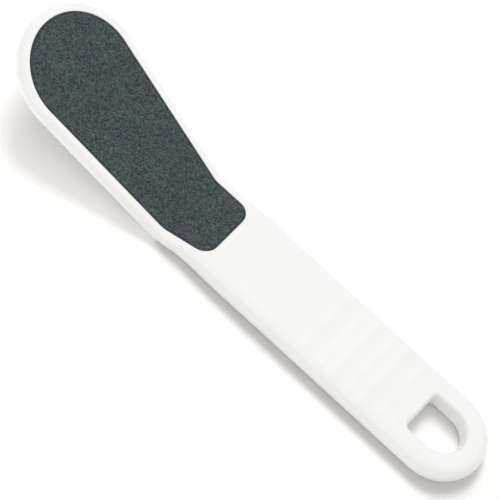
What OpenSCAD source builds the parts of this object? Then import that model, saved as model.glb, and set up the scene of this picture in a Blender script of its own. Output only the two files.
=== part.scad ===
// Foot file: a moulded handle whose thin paddle bends upwards, with an abrasive laminate set flush
// into each face of the paddle.
// The handle lies along X with the paddle towards -X, and +Z is the front face's side. The origin is
// the bottom centre of the whole file's bounding box, so the handle's underside rests on z = 0.
// The moulding is drawn flat and then bent: s runs along its underside from the bend, positive towards
// the tail, y is across, and n is the height above the underside, square to it.

/* [Handle] */
// Length from the bend to the end of the tail, along the underside
handle_l = 130.4; // [115:0.2:180]
// Width across the handle, and diameter of its round tail
handle_w = 34.2; // [30:0.2:44]
// Thickness of the handle
handle_t = 7.7; // [7:0.1:12]

/* [Grip waves] */
// Number of pairs of shallow troughs across the handle, each a wide one and a narrow one
wave_pairs = 3; // [1:1:4]
// Length of a wide trough along the handle, from crest to crest
wide_wave = 8; // [6:0.1:9]
// Length of a narrow trough along the handle, from crest to crest
narrow_wave = 4.9; // [4:0.1:7]
// Depth of a wide trough below its crests
wave_depth = 0.3; // [0.15:0.05:0.8]
// Depth of a narrow trough, as a share of a wide one's
narrow_share = 0.4; // [0.2:0.05:1]
// Smooth length between the last crest and the hang hole
wave_to_hole = 5.1; // [3:0.1:12]

/* [Hang hole] */
// Length of the D-shaped hole along the handle
hole_l = 17.8; // [12:0.1:22]
// Width of the hole, and diameter of its round end
hole_w = 17.2; // [10:0.2:20]
// Radius of the two corners at the hole's straight end
hole_corner_r = 1.8; // [1:0.1:3]
// Radius of the soft rim around the hole on each face
hole_rim_r = 1.6; // [0.6:0.1:1.8]
// Solid length between the hole and the end of the tail
tail_web = 8.8; // [6:0.1:12]

/* [Neck] */
// Width of the moulding at the bend
neck_w = 35.4; // [32:0.2:42]
// Distance from the bend to where the neck starts to thicken
slope_start = 1.5; // [1:0.1:4]
// Distance from the bend to where the neck has the handle's thickness
slope_end = 18; // [17:0.1:28]
// Half the length of the soft blend at each end of the thickening slope
slope_blend = 2; // [1:0.1:2]
// Distance from the bend to where the sides stop narrowing
taper_end = 7; // [6:0.5:14]
// Length of the soft waist between the narrowing sides and the handle
waist_l = 19; // [14:0.5:26]

/* [Paddle] */
// Length from the bend to the tip of the paddle, along the underside
paddle_l = 81.6; // [70:0.2:110]
// Thickness of the paddle
paddle_t = 4.7; // [4.4:0.05:6.5]
// Radius of the paddle's round end
tip_r = 24; // [22:0.1:28]
// Angle by which the paddle rises from the handle
paddle_angle = 16.8; // [8:0.1:25]
// Radius of the bend on the underside
bend_r = 16; // [14:0.5:30]

/* [Edges] */
// Share of the thickness taken by the radius of each rounded edge
edge_share = 0.48; // [0.25:0.005:0.49]

/* [Abrasive pads] */
// Width of the bare rim around each pad
pad_rim = 3.8; // [3.5:0.1:6]
// Clearance between a pad and the wall of its recess
pad_gap = 0.15; // [0.05:0.05:0.3]
// Distance from the bend to the straight end of the pads
pad_end = 17.6; // [14:0.1:18.5]
// Radius of the corners at the pads' straight end
pad_corner_r = 5.4; // [2:0.1:6]
// Thickness of the adhesive film
film_t = 0.2; // [0.1:0.05:0.3]
// Thickness of the sheet that carries the grit
backing_t = 0.5; // [0.3:0.05:0.6]
// Thickness of the grit coat
grit_t = 0.3; // [0.2:0.05:0.5]

/* [Hidden] */

// Colours, as the photograph shows them
white_plastic = [0.95, 0.95, 0.94];
film_tint = [0.85, 0.82, 0.72];
backing_grey = [0.36, 0.38, 0.39];
grit_grey = [0.24, 0.28, 0.3];

// How far a cut runs past the surface that it starts from
overrun = 1;

// Counts of the flat steps that stand for curves
tip_steps = 18;
tail_steps = 14;
corner_steps = 5;
hole_end_steps = 13;
rim_steps = 4;
neck_steps = 26;
wide_steps = 10;
narrow_steps = 6;
edge_steps = 12;

handle_half = handle_w / 2;
neck_half = neck_w / 2;
tip_s = tip_r - paddle_l;
tail_s = handle_l - handle_half;
hole_s1 = handle_l - tail_web;
hole_s0 = hole_s1 - hole_l;
wave_s1 = hole_s0 - wave_to_hole;
pair_l = wide_wave + narrow_wave;
wave_s0 = wave_s1 - wave_pairs * pair_l;
recess_d = film_t + backing_t + grit_t;

// Angle at which each side narrows, on the line from the bend's corner that is tangent to the tip
taper = asin(tip_r / norm([neck_half, tip_s])) - atan(neck_half / -tip_s);

// Length along the underside that the bend takes, half on either side of s = 0
bend_half = bend_r * paddle_angle * PI / 360;

// Places along the neck at which the moulding, the recesses and the sheets all have a cross-section,
// so that their curved faces have the same flat steps and seat face to face
neck_end = taper_end + waist_l;
neck_places = [
    for (i = [0 : neck_steps]) -bend_half + i * (neck_end + bend_half) / neck_steps
];

// Zero, then a straight rise from zero, with a soft blend of half-length w between them
function ramp(x, w) = x < -w ? 0 : x > w ? x : (x + w) * (x + w) / (4 * w);

function thickness(s) = paddle_t + (handle_t - paddle_t) / (slope_end - slope_start)
    * (ramp(s - slope_start, slope_blend) - ramp(s - slope_end, slope_blend));

function trough(t, length) = (1 - cos(360 * t / length)) / 2;

function wave(s) = s < wave_s0 || s > wave_s1 ? 0
    : let (t = (s - wave_s0) % pair_l)
    wave_depth * (t < wide_wave ? trough(t, wide_wave) : narrow_share * trough(t - wide_wave, narrow_wave));

// Angle that the underside has turned through at s
function turned(s) = paddle_angle * min(1, max(0, (bend_half - s) / (2 * bend_half)));

// Where a point of the flat drawing lies once it is bent, before the part is centred
function bent_x(s, n) = s >= bend_half ? s
    : bend_half - bend_r * sin(turned(s)) + n * sin(turned(s))
        + min(0, s + bend_half) * cos(paddle_angle);
function bent_z(s, n) = bend_r * (1 - cos(turned(s))) + n * cos(turned(s))
    - min(0, s + bend_half) * sin(paddle_angle);

// The tip's nose is lowest and furthest out on its lower rounded edge
nose_r = edge_share * paddle_t;
centre_x = (handle_l + bent_x(nose_r - paddle_l, nose_r) - nose_r) / 2;

function bent(s, y, n) = [bent_x(s, n) - centre_x, y, bent_z(s, n)];

// Half an outline is a list of [s, y, angle of the outward normal], from the tip to the tail.
// An arc that meets the centre line stops half a step short of it.
function arc(s, r, from, to, steps) = [
    for (i = [0 : steps]) let (a = from + (to - from) * i / steps) [s + r * cos(a), r * sin(a), a]
];
function tip_arc(r) = arc(tip_s, r, 180 - (90 + taper) / (2 * tip_steps + 1), 90 - taper, tip_steps);

// The waist is a cubic from the narrowing side to the handle's straight side
waist_y0 = neck_half - taper_end * tan(taper);
waist_m0 = -waist_l * tan(taper);
function waist_y(u) = (2 * u * u * u - 3 * u * u + 1) * waist_y0
    + (u * u * u - 2 * u * u + u) * waist_m0 + (3 * u * u - 2 * u * u * u) * handle_half;
function waist_slope(u) = (6 * (u * u - u) * (waist_y0 - handle_half)
    + (3 * u * u - 4 * u + 1) * waist_m0) / waist_l;

// Places along one pair of troughs at which the moulding has a cross-section
wave_places = concat(
    [for (i = [0 : wide_steps - 1]) i * wide_wave / wide_steps],
    [for (i = [0 : narrow_steps - 1]) wide_wave + i * narrow_wave / narrow_steps]
);

function side_point(s) = s <= taper_end
    ? [s, neck_half - s * tan(taper), 90 - taper]
    : let (u = (s - taper_end) / waist_l) [s, waist_y(u), 90 + atan(waist_slope(u))];

moulding_outline = concat(
    tip_arc(tip_r),
    [for (s = neck_places) side_point(s)],
    [
        for (i = [0 : wave_pairs - 1], t = wave_places)
            [wave_s0 + i * pair_l + t, handle_half, 90]
    ],
    [[wave_s1, handle_half, 90]],
    arc(tail_s, handle_half, 90, 90 / (2 * tail_steps + 1), tail_steps)
);

// Outline of a pad, grown by some clearance: it keeps the moulding's rim, and ends in round corners
function pad_outline(grow) =
    let (
        rim = pad_rim - grow,
        r = pad_corner_r + grow,
        corner_s = pad_end + grow - r,
        corner_y = neck_half - corner_s * tan(taper) - (rim + r) / cos(taper)
    )
    concat(
        tip_arc(tip_r - rim),
        [
            for (s = neck_places) if (s < corner_s)
                [s, neck_half - s * tan(taper) - rim / cos(taper), 90 - taper]
        ],
        [for (p = arc(corner_s, r, 90 - taper, 0, corner_steps)) [p[0], p[1] + corner_y, p[2]]]
    );

// Triangles that join equal rings of points into a closed loft. Each ring goes down one side and up
// the other, so an end is closed by a ladder between the two sides.
function loft_faces(rings, size) = concat(
    [
        for (i = [0 : rings - 2], j = [0 : size - 1], k = [0, 1])
            let (a = i * size + j, b = i * size + (j + 1) % size)
            k == 0 ? [a, b, b + size] : [a, b + size, a + size]
    ],
    [
        for (j = [0 : size / 2 - 2], k = [0, 1])
            k == 0 ? [j, size - 1 - j, size - 2 - j] : [j, size - 2 - j, j + 1]
    ],
    let (e = (rings - 1) * size) [
        for (j = [0 : size / 2 - 2], k = [0, 1])
            k == 0 ? [e + j, e + size - 2 - j, e + size - 1 - j] : [e + j, e + j + 1, e + size - 2 - j]
    ]
);

// One point of the moulding's skin: an outline point p, at angle f round the edge, from 90 on the
// front face to -90 on the back. A wave sinks the face and fades out round the edge.
function skin_point(p, f) =
    let (
        r = edge_share * thickness(p[0]),
        in = r * (1 - cos(f)),
        s = p[0] - in * cos(p[2]),
        y = p[1] - in * sin(p[2]),
        sink = r * (1 - abs(sin(f))) + wave(p[0]) * sin(f) * sin(f)
    )
    [s, y, f >= 0 ? thickness(s) - sink : sink];

function skin_ring(p) = concat(
    [for (j = [0 : edge_steps]) skin_point(p, 90 - 180 * j / edge_steps)],
    [
        for (j = [0 : edge_steps])
            let (q = skin_point(p, -90 + 180 * j / edge_steps)) [q[0], -q[1], q[2]]
    ]
);

module moulding() {
    polyhedron(
        points = [for (p = moulding_outline, q = skin_ring(p)) bent(q[0], q[1], q[2])],
        faces = loft_faces(len(moulding_outline), 2 * (edge_steps + 1))
    );
}

// A sheet that follows one face of the paddle, between two depths below that face
module sheet(front, grow, from_d, to_d) {
    outline = pad_outline(grow);
    points = [
        for (p = outline, q = [[1, from_d], [1, to_d], [-1, to_d], [-1, from_d]])
            bent(p[0], q[0] * p[1], front ? thickness(p[0]) - q[1] : to_d - (q[1] - from_d))
    ];
    polyhedron(points = points, faces = loft_faces(len(outline), 4));
}

// The hole's outline, grown by some rim, at the height z
function hole_ring(grow, z) =
    let (
        round_r = hole_w / 2,
        half = concat(
            [
                for (p = arc(hole_s0 + hole_corner_r, hole_corner_r, 180, 90, corner_steps))
                    [p[0], p[1] + round_r - hole_corner_r, p[2]]
            ],
            arc(hole_s1 - round_r, round_r, 90, 90 / (2 * hole_end_steps + 1), hole_end_steps)
        ),
        side = [
            for (p = half) [p[0] + grow * cos(p[2]) - centre_x, p[1] + grow * sin(p[2]), z]
        ]
    )
    concat(side, [for (i = [len(side) - 1 : -1 : 0]) [side[i][0], -side[i][1], z]]);

// The cut for the hole: it runs out past both faces, and opens there in a soft rim
module hang_hole() {
    rim = [
        for (i = [0 : rim_steps])
            let (a = 90 - 90 * i / rim_steps) hole_rim_r * [1 - cos(a), 1 - sin(a)]
    ];
    levels = concat(
        [[hole_rim_r, -overrun]],
        rim,
        [for (i = [rim_steps : -1 : 0]) [rim[i][0], handle_t - rim[i][1]]],
        [[hole_rim_r, handle_t + overrun]]
    );
    rings = [for (level = levels) hole_ring(level[0], level[1])];
    polyhedron(
        points = [for (ring = rings, p = ring) p],
        faces = loft_faces(len(rings), len(rings[0]))
    );
}

module handle_body() {
    color(white_plastic)
        difference() {
            moulding();
            hang_hole();
            sheet(true, pad_gap, -overrun, recess_d);
            sheet(false, pad_gap, -overrun, recess_d);
        }
}

// Each pad is seated on its recess's floor: the film first, then the backing, then the grit
module adhesive_film(front) {
    color(film_tint) sheet(front, 0, recess_d - film_t, recess_d);
}

module backing_sheet(front) {
    color(backing_grey) sheet(front, 0, grit_t, grit_t + backing_t);
}

module grit_coat(front) {
    color(grit_grey) sheet(front, 0, 0, grit_t);
}

handle_body();
adhesive_film(true);  // front_adhesive_film
backing_sheet(true);  // front_backing_sheet
grit_coat(true);  // front_grit_coat
adhesive_film(false);  // rear_adhesive_film
backing_sheet(false);  // rear_backing_sheet
grit_coat(false);  // rear_grit_coat
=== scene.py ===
"""The looks of a foot file: a white moulded handle with an abrasive pad flush in each face of its paddle.

Sizes are in millimetres up to the point where a mesh is made, and then in metres, in the CAD frame.
"""

import bmesh
import bpy
import numpy as np
from mathutils import Matrix, Vector
from mathutils.geometry import delaunay_2d_cdt

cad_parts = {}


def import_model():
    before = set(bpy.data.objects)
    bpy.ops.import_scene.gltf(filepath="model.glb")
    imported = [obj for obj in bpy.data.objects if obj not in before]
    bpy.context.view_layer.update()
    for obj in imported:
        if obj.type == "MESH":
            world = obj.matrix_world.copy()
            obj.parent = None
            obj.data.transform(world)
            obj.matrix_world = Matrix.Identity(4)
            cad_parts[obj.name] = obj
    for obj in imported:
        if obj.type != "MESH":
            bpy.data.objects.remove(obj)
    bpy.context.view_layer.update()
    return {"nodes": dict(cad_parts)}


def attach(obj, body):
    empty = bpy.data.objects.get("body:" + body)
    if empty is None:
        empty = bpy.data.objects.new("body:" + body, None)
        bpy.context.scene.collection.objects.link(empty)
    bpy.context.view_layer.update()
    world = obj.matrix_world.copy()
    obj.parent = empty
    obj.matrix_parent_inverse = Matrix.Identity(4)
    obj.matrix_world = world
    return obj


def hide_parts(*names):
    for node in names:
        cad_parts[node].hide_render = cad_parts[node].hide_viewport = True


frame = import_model()
nodes = frame["nodes"]
MM = 0.001

# The part's own sizes, as its source has them
handle_l, handle_w, handle_t = 130.4, 34.2, 7.7
wave_pairs, wide_wave, narrow_wave = 3, 8.0, 4.9
wave_depth, narrow_share, wave_to_hole = 0.3, 0.4, 5.1
hole_l, hole_w, hole_corner_r, hole_rim_r, tail_web = 17.8, 17.2, 1.8, 1.6, 8.8
neck_w, slope_start, slope_end, slope_blend = 35.4, 1.5, 18.0, 2.0
taper_end, waist_l = 7.0, 19.0
paddle_l, paddle_t, tip_r, bend_r = 81.6, 4.7, 24.0, 16.0
paddle_angle = np.radians(16.8)
edge_share = 0.48
pad_rim, pad_gap, pad_end, pad_corner_r = 3.8, 0.15, 17.6, 5.4
film_t, backing_t, grit_t = 0.2, 0.5, 0.3

# Half the width of the painted highlight along each wave's crest, where the crest is also a little smoother
crest_line_w = 1.4
# Height above the moulding's middle at which the waves' painted highlight and shade, and the crests'
# smoother finish, begin, as a share of half its thickness, and its fade
marks_from, marks_fade = 0.5, 0.3

# Points along the lines and arcs of the fine meshes, and steps of their grids
tip_steps, tail_steps, edge_steps, rim_steps = 72, 44, 24, 6
paddle_points, bend_points, neck_points, plain_points, tail_points = 48, 13, 44, 28, 15
steps_per_pair = 36
hole_corner_steps, hole_side_points, hole_round_steps, hole_wall_points = 8, 10, 28, 5
lip_r, lip_points = 0.25, 5
grid_along, grid_across, grid_margin = 1.1, 1.3, 0.3
tip_grid_s0, tip_grid_s1 = -80, -56
coarse_across, coarse_margin = 4, 0.5
sharp_angle = np.radians(40)
# Points nearer to each other than the first are one, and triangles lower than the second are slivers
same_point, sliver_h = 1e-6, 1e-3

# The grit's relief: the space between grains, their shift from a regular grid as a share of it,
# their least distance from the edge, and a power above 1 that leaves more of the coat low than high
grain, grain_shift, grain_margin, low_power = 0.3, 0.75, 0.45, 1.6
# Steps of its outline: round the tip, round a corner and along half the end
grit_tip_steps, grit_corner_steps, grit_end_steps = 214, 14, 43
# How far in from the coat's outline the painted shadow of the gap round it, and the lighter band beside it,
# reach
gap_shade_band = 2

handle_half, neck_half = handle_w / 2, neck_w / 2
tip_s, tail_s = tip_r - paddle_l, handle_l - handle_half
hole_s1 = handle_l - tail_web
hole_s0 = hole_s1 - hole_l
wave_s1 = hole_s0 - wave_to_hole
pair_l = wide_wave + narrow_wave
wave_s0 = wave_s1 - wave_pairs * pair_l
neck_end = taper_end + waist_l
recess_d = film_t + backing_t + grit_t
taper = np.arcsin(tip_r / np.hypot(neck_half, tip_s)) - np.arctan(neck_half / -tip_s)
bend_half = bend_r * paddle_angle / 2


# The moulding's rules: s along the underside from the bend, y across, n above the underside

def ramp(x, w):
    return np.where(x < -w, 0, np.where(x > w, x, (x + w) ** 2 / (4 * w)))


def thickness(s):
    rise = ramp(s - slope_start, slope_blend) - ramp(s - slope_end, slope_blend)
    return paddle_t + (handle_t - paddle_t) / (slope_end - slope_start) * rise


def wave(s):
    t = (s - wave_s0) % pair_l
    wide = (1 - np.cos(2 * np.pi * t / wide_wave)) / 2
    narrow = narrow_share * (1 - np.cos(2 * np.pi * (t - wide_wave) / narrow_wave)) / 2
    sunk = wave_depth * np.where(t < wide_wave, wide, narrow)
    return np.where((s > wave_s0) & (s < wave_s1), sunk, 0)


def painted_light_and_polish(s, n):
    """Painted light on a face, with the crests' smoother finish: 1 on a wave's crest, a painted highlight,
    and less than 0 down in a trough, painted shade.
    """
    t = (s - wave_s0) % pair_l
    nearest = np.minimum(np.minimum(t, pair_l - t), np.abs(t - wide_wave))
    after_first = np.clip((s - wave_s0 + crest_line_w) / crest_line_w, 0, 1)
    before_last = np.clip((wave_s1 + crest_line_w - s) / crest_line_w, 0, 1)
    crest = after_first * before_last * np.exp(-(nearest / crest_line_w) ** 2)
    lift = np.abs(2 * n / thickness(s) - 1)
    on_face = np.clip((lift - marks_from) / marks_fade, 0, 1)
    return on_face * (crest - wave(s) / wave_depth)


def bent(s, y, n):
    turned = paddle_angle * np.clip((bend_half - s) / (2 * bend_half), 0, 1)
    back = np.minimum(0, s + bend_half)
    x = bend_half - bend_r * np.sin(turned) + n * np.sin(turned) + back * np.cos(paddle_angle)
    z = bend_r * (1 - np.cos(turned)) + n * np.cos(turned) - back * np.sin(paddle_angle)
    return np.stack([np.where(s >= bend_half, s, x), y, z], -1)


# The middle between the tip's foremost point and the tail's end, which the frame has at x = 0
nose_r = edge_share * paddle_t
nose = bent(np.array(nose_r - paddle_l), np.array(0.0), np.array(nose_r))
centre_x = (handle_l + nose[0] - nose_r) / 2


def arc(s, y, r, start, end, steps):
    """Points of an arc as rows of s, y and the outward normal's angle."""
    a = np.linspace(start, end, steps + 1)
    return np.stack([s + r * np.cos(a), y + r * np.sin(a), a], -1)


def mirrored(half):
    """A closed outline from the half on the +y side, whose two end points lie on the centre line."""
    other = half[-2:0:-1] * [1, -1, -1]
    return np.concatenate([half, other])


def side(s):
    """Points of the moulding's side between the tip's arc and the tail's."""
    u = np.clip((s - taper_end) / waist_l, 0, 1)
    y0 = neck_half - taper_end * np.tan(taper)
    m0 = -waist_l * np.tan(taper)
    y = (2 * u**3 - 3 * u**2 + 1) * y0 + (u**3 - 2 * u**2 + u) * m0 + (3 * u**2 - 2 * u**3) * handle_half
    slope = (6 * (u**2 - u) * (y0 - handle_half) + (3 * u**2 - 4 * u + 1) * m0) / waist_l
    flat = s <= taper_end
    return np.stack([
        s,
        np.where(flat, neck_half - s * np.tan(taper), y),
        np.pi / 2 + np.where(flat, -taper, np.arctan(slope)),
    ], -1)


def stations():
    """Places along the side, closer together where the form bends or waves."""
    tip_side = tip_s + tip_r * np.sin(taper)
    return np.concatenate([
        np.linspace(tip_side, -bend_half, paddle_points)[1:],
        np.linspace(-bend_half, bend_half, bend_points)[1:],
        np.linspace(bend_half, neck_end, neck_points)[1:],
        np.linspace(neck_end, wave_s0, plain_points)[1:],
        np.linspace(wave_s0, wave_s1, wave_pairs * steps_per_pair + 1)[1:],
        np.linspace(wave_s1, tail_s, tail_points)[1:-1],
    ])


def moulding_outline():
    return mirrored(np.concatenate([
        arc(tip_s, 0, tip_r, np.pi, np.pi / 2 - taper, tip_steps),
        side(stations()),
        arc(tail_s, 0, handle_half, np.pi / 2, 0, tail_steps),
    ]))


def pad_outline(grow, arc_steps=tip_steps, side_step=grid_along, corner_steps=10, end_steps=12):
    """The outline of a pad, or of its recess where it is to grow by the gap between them."""
    rim, r = pad_rim - grow, pad_corner_r + grow
    corner_s = pad_end + grow - r
    corner_y = neck_half - corner_s * np.tan(taper) - (rim + r) / np.cos(taper)
    tip = arc(tip_s, 0, tip_r - rim, np.pi, np.pi / 2 - taper, arc_steps)
    corner = arc(corner_s, corner_y, r, np.pi / 2 - taper, 0, corner_steps)
    count = int((corner_s - tip_s) / side_step)
    s = np.linspace(tip[-1, 0], corner[0, 0], count + 1)[1:-1]
    y = np.interp(s, [tip[-1, 0], corner[0, 0]], [tip[-1, 1], corner[0, 1]])
    line = np.stack([s, y, np.full_like(s, np.pi / 2 - taper)], -1)
    y = np.linspace(corner_y, 0, end_steps + 1)[1:]
    end = np.stack([np.full_like(y, pad_end + grow), y, np.zeros_like(y)], -1)
    return mirrored(np.concatenate([tip, line, corner, end]))


def hole_outline():
    round_r = hole_w / 2
    corner_s, corner_y = hole_s0 + hole_corner_r, round_r - hole_corner_r
    corner = arc(corner_s, corner_y, hole_corner_r, np.pi, np.pi / 2, hole_corner_steps)
    y = np.linspace(0, corner_y, hole_corner_steps)[:-1]
    start = np.stack([np.full_like(y, hole_s0), y, np.full_like(y, np.pi)], -1)
    s = np.linspace(corner_s, hole_s1 - round_r, hole_side_points)[1:-1]
    line = np.stack([s, np.full_like(s, round_r), np.full_like(s, np.pi / 2)], -1)
    end = arc(hole_s1 - round_r, 0, round_r, np.pi / 2, 0, hole_round_steps)
    return mirrored(np.concatenate([start, corner, line, end]))


# Mesh building in the flat drawing

def inside(loop, points):
    """Which points lie inside a closed loop."""
    a, b = loop, np.roll(loop, -1, 0)
    hit = np.zeros(len(points), bool)
    for (x0, y0), (x1, y1) in zip(a, b):
        if y0 == y1:
            continue
        crosses = (points[:, 1] < y0) != (points[:, 1] < y1)
        hit ^= crosses & (points[:, 0] < x0 + (points[:, 1] - y0) * (x1 - x0) / (y1 - y0))
    return hit


def distance_from(loop, points):
    """How far points are from a closed loop."""
    nearest = np.full(len(points), np.inf)
    for p, q in zip(loop, np.roll(loop, -1, 0)):
        d = q - p
        t = np.clip(((points - p) @ d) / max(d @ d, 1e-12), 0, 1)
        nearest = np.minimum(nearest, np.hypot(*(points - p - t[:, None] * d).T))
    return nearest


class Flat:
    """Collects points of the flat drawing and the faces between them."""

    def __init__(self):
        self.points = []
        self.count = 0
        self.faces = []

    def add(self, s, y, n):
        """Adds points and gives their numbers."""
        rows = np.stack(np.broadcast_arrays(s, y, n), -1).astype(float)
        self.points.append(rows)
        self.count += len(rows)
        return np.arange(self.count - len(rows), self.count)

    def strip(self, a, b):
        """Quads between two closed rows of equal length."""
        a2, b2 = np.roll(a, -1), np.roll(b, -1)
        self.faces += np.stack([a, a2, b2, b], -1).tolist()

    def fill(self, loops, extra=()):
        """Triangles between closed rows, the first of them outermost, with more points among them."""
        rows = np.concatenate(self.points)
        index = np.concatenate([*loops, extra]).astype(int)
        edges, start = [], 0
        for loop in loops:
            n = len(loop)
            edges += [(start + i, start + (i + 1) % n) for i in range(n)]
            start += n
        out = delaunay_2d_cdt([Vector(p) for p in rows[index, :2]], edges, [], 0, same_point)
        source = np.array([o[0] for o in out[3]])
        tris = source[np.array(out[2])]
        corners = rows[index, :2][tris]
        sides = np.roll(corners, -1, 1) - corners
        twice_area = np.abs(np.cross(sides[:, 0], sides[:, 1]))
        longest = np.hypot(*sides.transpose(2, 0, 1)).max(1)
        centre = corners.mean(1)
        # Points in a row along a straight side leave slivers outside it, which go
        keep = twice_area > sliver_h * longest
        keep &= inside(rows[loops[0], :2], centre)
        for loop in loops[1:]:
            keep &= ~inside(rows[loop, :2], centre)
        self.faces += index[tris[keep]].tolist()

    def mesh(self, name, smooth=True):
        """The object that all points and faces make, bent into the file's form."""
        rows = np.concatenate(self.points)
        xyz = bent(*rows.T)
        xyz[:, 0] -= centre_x
        mesh = bpy.data.meshes.new(name)
        mesh.from_pydata((xyz * MM).tolist(), [], self.faces)
        mesh.validate()
        outward(mesh)
        if smooth:
            mesh.shade_smooth()
            mesh.set_sharp_from_angle(angle=sharp_angle)
        # Painted highlight on the waves' crests and painted shade in their troughs, which also set the
        # crests' smoother finish
        light_and_polish = mesh.attributes.new("painted_light_and_polish", "FLOAT", "POINT")
        light_and_polish.data.foreach_set("value", painted_light_and_polish(rows[:, 0], rows[:, 2]))
        obj = bpy.data.objects.new(name, mesh)
        bpy.context.collection.objects.link(obj)
        return obj


def outward(mesh):
    """Turns all faces of a closed mesh outwards."""
    bm = bmesh.new()
    bm.from_mesh(mesh)
    bmesh.ops.recalc_face_normals(bm, faces=bm.faces)
    bm.to_mesh(mesh)
    bm.free()


def grid(loops, places, step, margin):
    """Points across the drawing at the given places, inside the first loop and outside the others."""
    reach = int(np.abs(loops[0][:, 1]).max() / step)
    y = np.arange(-reach, reach + 1) * step
    points = np.stack(np.meshgrid(places, y, indexing="ij"), -1).reshape(-1, 2)
    keep = inside(loops[0], points)
    for loop in loops[1:]:
        keep &= ~inside(loop, points)
    points = points[keep]
    for loop in loops:
        points = points[distance_from(loop, points) > margin]
    return points


# The moulding

def make_body():
    flat = Flat()
    # The rounded side, from the upper face round to the underside
    s0, y0, a0 = moulding_outline().T
    r = edge_share * thickness(s0)
    rows = []
    for f in np.linspace(np.pi / 2, -np.pi / 2, edge_steps + 1):
        inset = r * (1 - np.cos(f))
        s, y = s0 - inset * np.cos(a0), y0 - inset * np.sin(a0)
        sink = r * (1 - abs(np.sin(f))) + wave(s0) * np.sin(f) ** 2
        rows.append(flat.add(s, y, thickness(s) - sink if f >= 0 else sink))
    for a, b in zip(rows, rows[1:]):
        flat.strip(a, b)

    # The hang hole, from its upper rim down to its lower rim
    hole = hole_outline()
    hole_rows = []
    turns = np.linspace(np.pi / 2, 0, rim_steps + 1)
    levels = [(hole_rim_r * (1 - np.cos(t)), hole_rim_r * (1 - np.sin(t))) for t in turns]
    levels += [(0, d) for d in np.linspace(hole_rim_r, handle_t - hole_rim_r, hole_wall_points)[1:-1]]
    levels += [(g, handle_t - d) for g, d in levels[rim_steps::-1]]
    for grow, depth in levels:
        s, y = hole[:, 0] + grow * np.cos(hole[:, 2]), hole[:, 1] + grow * np.sin(hole[:, 2])
        hole_rows.append(flat.add(s, y, handle_t - depth))
    for a, b in zip(hole_rows, hole_rows[1:]):
        flat.strip(a, b)

    # The two faces, each with its recess
    tip_places = np.arange(tip_grid_s0, tip_grid_s1, grid_along)
    tail_places = np.arange(tail_s, handle_l, grid_along)
    along = np.concatenate([tip_places, stations(), tail_places])
    for front in (True, False):
        def skin(s, depth):
            sunk = depth + wave(s)
            return thickness(s) - sunk if front else sunk

        recess_rows = []
        for t in np.linspace(0, np.pi / 2, lip_points):
            p = pad_outline(pad_gap + lip_r * (1 - np.sin(t)))
            recess_rows.append(flat.add(p[:, 0], p[:, 1], skin(p[:, 0], lip_r * (1 - np.cos(t)))))
        p = pad_outline(pad_gap)
        recess_rows.append(flat.add(p[:, 0], p[:, 1], skin(p[:, 0], recess_d)))
        for a, b in zip(recess_rows, recess_rows[1:]):
            flat.strip(a, b)

        every = np.concatenate(flat.points)
        edge = rows[0] if front else rows[-1]
        opening = hole_rows[0] if front else hole_rows[-1]
        loops = [edge, recess_rows[0], opening]
        p = grid([every[loop, :2] for loop in loops], along, grid_across, grid_margin)
        flat.fill(loops, flat.add(p[:, 0], p[:, 1], skin(p[:, 0], 0)))
        floor = recess_rows[-1]
        p = grid([every[floor, :2]], along, coarse_across, coarse_margin)
        flat.fill([floor], flat.add(p[:, 0], p[:, 1], skin(p[:, 0], recess_d)))
    return flat.mesh("moulded_body")


# The grit coats

def make_grit(front, height, seed):
    """A coat with a real relief: no grain stands above the face, and the resin between them is lower."""
    rng = np.random.default_rng(seed)
    flat = Flat()
    p = pad_outline(0, grit_tip_steps, grain, grit_corner_steps, grit_end_steps)

    def skin(s, depth):
        return thickness(s) - depth if front else depth

    def relief(count):
        return height * (1 - rng.random(count) ** low_power)

    top = flat.add(p[:, 0], p[:, 1], skin(p[:, 0], relief(len(p))))
    base = flat.add(p[:, 0], p[:, 1], skin(p[:, 0], grit_t))
    flat.strip(top, base)
    places = np.arange(-paddle_l, pad_end, grain)
    q = grid([p[:, :2]], places, grain, grain_margin * grain)
    q = q + (rng.random(q.shape) - 0.5) * grain_shift * grain
    q = q[inside(p[:, :2], q)]
    flat.fill([top], flat.add(q[:, 0], q[:, 1], skin(q[:, 0], relief(len(q)))))
    q = grid([p[:, :2]], np.arange(-paddle_l, pad_end, grid_along), coarse_across, coarse_margin)
    flat.fill([base], flat.add(q[:, 0], q[:, 1], skin(q[:, 0], grit_t)))
    coat = flat.mesh("front_grit_surface" if front else "rear_grit_surface", smooth=False)
    # How far each point lies from the coat's outline, for the painted shadow of the gap along it
    inset = coat.data.attributes.new("inset", "FLOAT", "POINT")
    inset.data.foreach_set("value", distance_from(p[:, :2], np.concatenate(flat.points)[:, :2]))
    return coat


# Materials

def add_node(tree, kind, inputs=None, **settings):
    """A new node. Each of its inputs that is named is linked, if it gets a socket, or else set."""
    made = tree.nodes.new(kind)
    for key, value in settings.items():
        setattr(made, key, value)
    for key, value in (inputs or {}).items():
        if isinstance(value, bpy.types.NodeSocket):
            tree.links.new(value, made.inputs[key])
        else:
            made.inputs[key].default_value = value
    return made


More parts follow.
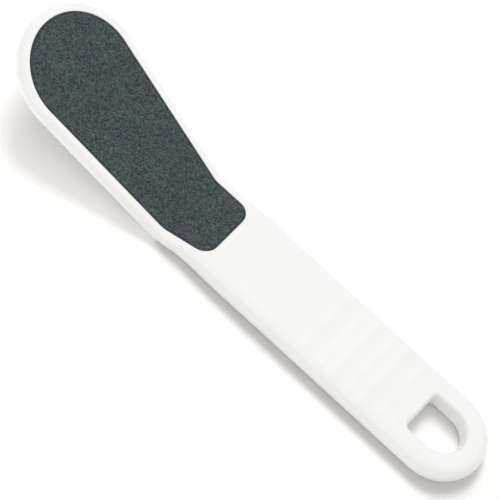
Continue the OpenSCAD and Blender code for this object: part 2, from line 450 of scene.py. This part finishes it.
class Nodes:
    """A material with a Principled shader, and short calls to add nodes to it."""

    def __init__(self, name, **sockets):
        self.material = bpy.data.materials.new(name)
        self.material.use_nodes = True
        self.tree = self.material.node_tree
        self.shader = self.tree.nodes["Principled BSDF"]
        for socket, value in sockets.items():
            self.shader.inputs[socket.replace("_", " ")].default_value = value
        self.place = self.node("ShaderNodeTexCoord").outputs["Object"]

    def node(self, kind, inputs=None, **settings):
        return add_node(self.tree, kind, inputs, **settings)

    def attribute(self, name):
        return self.node("ShaderNodeAttribute", attribute_name=name).outputs["Fac"]

    def math(self, operation, *values):
        return self.node("ShaderNodeMath", dict(enumerate(values)), operation=operation).outputs[0]

    def noise(self, scale, detail=2.0, rough=0.5):
        inputs = {"Vector": self.place, "Scale": scale, "Detail": detail, "Roughness": rough}
        return self.node("ShaderNodeTexNoise", inputs).outputs[0]

    def ramp(self, value, *stops):
        made = self.node("ShaderNodeValToRGB", {"Fac": value})
        ends = made.color_ramp.elements
        while len(ends) < len(stops):
            ends.new(0.5)
        for end, (where, colour) in zip(ends, stops):
            end.position = where
            end.color = (*colour, 1)
        return made.outputs["Color"]

    def spread(self, value, low, high, from_low=0.3, from_high=0.7):
        return self.node("ShaderNodeMapRange", {
            "Value": value, "From Min": from_low, "From Max": from_high, "To Min": low, "To Max": high,
        }).outputs["Result"]

    def product(self, a, b):
        """One colour times another."""
        inputs = {0: 1.0, 6: a, 7: b}
        return self.node("ShaderNodeMix", inputs, data_type="RGBA", blend_type="MULTIPLY").outputs[2]

    def bump(self, height, distance, under=None):
        inputs = {"Height": height, "Distance": distance}
        if under is not None:
            inputs["Normal"] = under
        return self.node("ShaderNodeBump", inputs).outputs["Normal"]

    def use(self, **links):
        for socket, value in links.items():
            self.tree.links.new(value, self.shader.inputs[socket.replace("_", " ")])
        return self.material


def white_plastic():
    m = Nodes("white_plastic")
    tone = m.ramp(m.noise(35, 3), (0.3, (0.913, 0.915, 0.903)), (0.7, (0.933, 0.933, 0.925)))
    # Painted highlight along the waves' crests and painted shade in their troughs, unevenly; the crests are
    # also a little smoother and the troughs a little rougher
    uneven = m.spread(m.noise(110), 0.55, 1.25)
    light_and_polish = m.math("MULTIPLY", m.attribute("painted_light_and_polish"), uneven)
    # The painted light and shade: the troughs up to 3 percent darker than the crests
    painted_light = m.ramp(m.spread(light_and_polish, 0, 1, -1, 1), (0, (0.97, 0.97, 0.969)), (1, (1, 1, 1)))
    tone = m.product(tone, painted_light)
    rough = m.spread(m.noise(260, 4, 0.6), 0.34, 0.46)
    rough = m.math("MULTIPLY_ADD", light_and_polish, -0.04, rough)
    skin = m.bump(m.noise(900, 3, 0.6), 0.00002)
    skin = m.bump(m.noise(5200), 0.000006, skin)
    return m.use(Base_Color=tone, Roughness=rough, Normal=skin)


def grit(name, grains, level):
    """Grains, so many to a metre, with their colours raised or lowered to a level."""
    m = Nodes(name)
    cells = m.node("ShaderNodeTexVoronoi", {"Vector": m.place, "Scale": grains})
    shade = m.node("ShaderNodeSeparateColor", {"Color": cells.outputs["Color"]})
    grain_colour = m.ramp(
        shade.outputs[0],
        (0.0, (0.008, 0.013, 0.014)), (0.4, (0.030, 0.045, 0.048)),
        (0.8, (0.061, 0.083, 0.086)), (1.0, (0.088, 0.114, 0.116)),
    )
    mottle = m.ramp(m.noise(140, 3), (0.35, (0.9, 0.86, 0.95)), (0.65, (0.98, 1.06, 1.02)))
    colour = m.product(grain_colour, mottle)
    colour = m.product(colour, (level, level, level, 1))
    # Painted shadow of the gap between the coat and its recess, as a dark line along the coat's edge, and
    # beside it the coat is a little lighter
    edge = m.ramp(
        m.spread(m.attribute("inset"), 0, 1, 0, gap_shade_band),
        (0.0, (0.62, 0.62, 0.62)), (0.33, (0.64, 0.64, 0.64)),
        (0.55, (1.24, 1.24, 1.24)), (0.9, (1, 1, 1)),
    )
    colour = m.product(colour, edge)
    rough = m.spread(shade.outputs[1], 0.85, 0.42, 0.6, 1.0)
    face = m.bump(cells.outputs["Distance"], 0.00012)
    face = m.bump(m.noise(9000), 0.00002, face)
    return m.use(Base_Color=colour, Roughness=rough, Normal=face)


def backing():
    m = Nodes("backing_sheet")
    yarn = {"Vector": m.place, "Scale": 420.0, "Distortion": 0.6}
    warp = m.node("ShaderNodeTexWave", yarn, bands_direction="X").outputs["Fac"]
    weft = m.node("ShaderNodeTexWave", yarn, bands_direction="Y").outputs["Fac"]
    weave = m.math("MULTIPLY", warp, weft)
    colour = m.ramp(weave, (0.0, (0.05, 0.056, 0.06)), (1.0, (0.14, 0.15, 0.155)))
    rough = m.spread(m.noise(600, 3), 0.75, 0.9)
    return m.use(Base_Color=colour, Roughness=rough, Normal=m.bump(weave, 0.00005))


def adhesive():
    m = Nodes("adhesive")
    colour = m.ramp(m.noise(300, 3), (0.3, (0.6, 0.56, 0.45)), (0.7, (0.72, 0.68, 0.57)))
    rough = m.spread(m.noise(900), 0.25, 0.5)
    return m.use(Base_Color=colour, Roughness=rough, Normal=m.bump(m.noise(1500, 3), 0.00002))


def paint(obj, material):
    obj.data.materials.clear()
    obj.data.materials.append(material)


def dress(obj, material, node):
    paint(obj, material)
    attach(obj, "root")
    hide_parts(node)


dress(make_body(), white_plastic(), "handle_body")
coarse = grit("coarse_grit", grains=2250, level=0.97)
fine = grit("fine_grit", grains=4200, level=1.1)
dress(make_grit(front=True, height=0.16, seed=5), coarse, "front_grit_coat")
dress(make_grit(front=False, height=0.1, seed=6), fine, "rear_grit_coat")
for name in ("front", "rear"):
    nodes[name + "_backing_sheet"].material_slots[0].material = backing()
    nodes[name + "_adhesive_film"].material_slots[0].material = adhesive()


# Floor, light and camera, in metres

floor_size = 6
white = (1, 1, 1, 1)
world_light = 0.515
key_way = (0.5, -0.63, -1)
hole_x = ((hole_s0 + hole_s1) / 2 - centre_x) * MM


def studio_floor():
    bpy.ops.mesh.primitive_plane_add(size=floor_size)
    floor = bpy.context.object
    floor.name = "floor"
    m = Nodes("floor", Base_Color=(0.985, 0.965, 0.935, 1), Roughness=0.9)
    paint(floor, m.material)


def softbox(name, towards, distance, size, energy, floor, at_x=0.0, spread=180):
    """A soft light that shines along a direction onto the file's middle line, at_x from its middle.

    It lights the floor alone where floor is INCLUDE, and all but the floor where it is EXCLUDE.
    """
    data = bpy.data.lights.new(name, "AREA")
    data.shape = "DISK"
    data.size = size
    data.spread = np.radians(spread)
    data.energy = energy
    lamp = bpy.data.objects.new(name, data)
    bpy.context.collection.objects.link(lamp)
    way = Vector(towards).normalized()
    lamp.location = Vector((at_x, 0, 0)) - way * distance
    lamp.rotation_euler = way.to_track_quat("-Z", "Y").to_euler()
    lamp.visible_camera = False
    reach = bpy.data.collections.new(name)
    reach.objects.link(bpy.data.objects["floor"])
    reach.collection_objects[0].light_linking.link_state = floor
    lamp.light_linking.receiver_collection = reach


def world():
    """Even light from all around. Behind the floor, in gloss and through clear pieces it shows as white."""
    made = bpy.data.worlds.new("studio")
    bpy.context.scene.world = made
    made.use_nodes = True
    tree = made.node_tree
    tree.nodes.clear()
    path = add_node(tree, "ShaderNodeLightPath")
    seen = path.outputs["Is Camera Ray"]
    for ray in ("Is Glossy Ray", "Is Transmission Ray"):
        inputs = {0: seen, 1: path.outputs[ray]}
        seen = add_node(tree, "ShaderNodeMath", inputs, operation="MAXIMUM").outputs[0]
    lit = add_node(tree, "ShaderNodeBackground", {"Color": white, "Strength": world_light})
    shown = add_node(tree, "ShaderNodeBackground", {"Color": white, "Strength": 1})
    mix = add_node(tree, "ShaderNodeMixShader", {0: seen, 1: lit.outputs[0], 2: shown.outputs[0]})
    add_node(tree, "ShaderNodeOutputWorld", {"Surface": mix.outputs[0]})


def camera():
    """The photograph's view: 3 pixels to a millimetre at the target, from 57 degrees above the handle."""
    rise, round_z, roll = np.radians([57.0, -7.0, 36.55])
    target = Vector((-0.835, 5.6, 0.0)) * MM
    distance = 1.8
    ahead = Vector((np.sin(round_z) * np.cos(rise), np.cos(round_z) * np.cos(rise), -np.sin(rise)))
    level = Vector((np.cos(round_z), -np.sin(round_z), 0))
    upward = level.cross(ahead)
    right = np.cos(roll) * level + np.sin(roll) * upward
    top = -np.sin(roll) * level + np.cos(roll) * upward
    data = bpy.data.cameras.new("camera")
    data.lens = 388.8
    data.sensor_width = 36
    data.clip_end = 20
    obj = bpy.data.objects.new("camera", data)
    bpy.context.collection.objects.link(obj)
    turn = Matrix((right, top, -ahead)).transposed().to_4x4()
    obj.matrix_world = Matrix.Translation(target - ahead * distance) @ turn
    bpy.context.scene.camera = obj


studio_floor()
world()
softbox("key", key_way, distance=1.0, size=0.85, energy=2.2, floor="EXCLUDE")
softbox("tail_key", (-0.5, -0.63, -1), distance=1.0, size=0.85, energy=1.75, floor="EXCLUDE")
softbox("near_fill", (0.1, 0.48, -0.87), distance=1.2, size=0.8, energy=3.65, floor="EXCLUDE")
softbox("floor_key", key_way, distance=2.0, size=1.25, energy=27.5, floor="INCLUDE")
softbox("floor_fill", (1, -0.25, -0.25), distance=3.0, size=0.9, energy=115, floor="INCLUDE")
softbox(
    "hole_key", key_way, distance=0.3, size=0.09, energy=0.002, floor="INCLUDE",
    at_x=hole_x, spread=25,
)
camera()
bpy.context.scene.view_settings.view_transform = "Standard"
